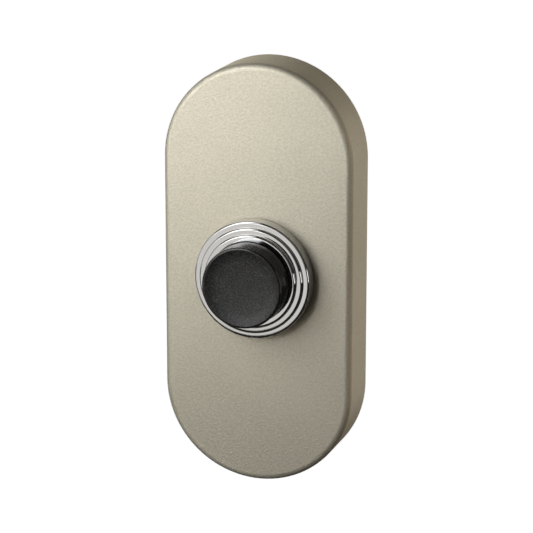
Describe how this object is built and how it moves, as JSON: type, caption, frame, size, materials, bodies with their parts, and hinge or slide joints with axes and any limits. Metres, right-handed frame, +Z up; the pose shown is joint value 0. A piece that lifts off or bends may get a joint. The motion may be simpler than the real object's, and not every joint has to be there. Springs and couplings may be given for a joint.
{
  "type": "doorbell button",
  "caption": "Oval surface-mounted doorbell button: a rounded metal cover plate with a bright stepped bezel and a sprung, dished push button that closes a pair of contacts.",
  "frame": {"origin": "on the wall plane, where the button's axis meets it, midway between the wall screws", "axes": "+Z up along the plate, +Y into the wall, so the front faces -Y and +X is to the right"},
  "size_m": [0.032, 0.0234, 0.07],
  "materials": {
    "plate_finish": "champagne nickel, finely grained satin",
    "bright_chrome": "polished chrome plate on turned brass",
    "button_black": "black moulding, grained face and smooth side",
    "spring_steel": "drawn spring steel",
    "blackened_steel": "blackened steel",
    "nickel_nut": "nickel plate on brass",
    "moulded_base": "dark brown phenolic moulding",
    "contact_brass": "turned brass",
    "terminal_nickel": "nickel plate on steel",
    "back_moulding": "black glass-filled moulding"
  },
  "bodies": {
    "housing": {"cover_plate": "plate_finish", "bezel_bush": "bright_chrome", "return_spring": "spring_steel", "contact_base": "moulded_base", "contact_post_left": "contact_brass", "contact_post_right": "contact_brass", "terminal_washers": "terminal_nickel", "terminal_screws": "terminal_nickel", "lock_washer": "spring_steel", "mounting_nut": "nickel_nut", "back_plate": "back_moulding", "cover_set_screw": "blackened_steel"},
    "button": {"push_button": "button_black", "contact_bridge": "contact_brass", "bridge_clip": "spring_steel"}
  },
  "joints": [
    {"name": "button_press", "type": "slide", "parent": "housing", "child": "button", "axis": [0, 1, 0], "range_m": [0, 0.002], "stiffness_N_per_m": 400, "springref_m": -0.004, "deforming": ["return_spring"]}
  ]
}
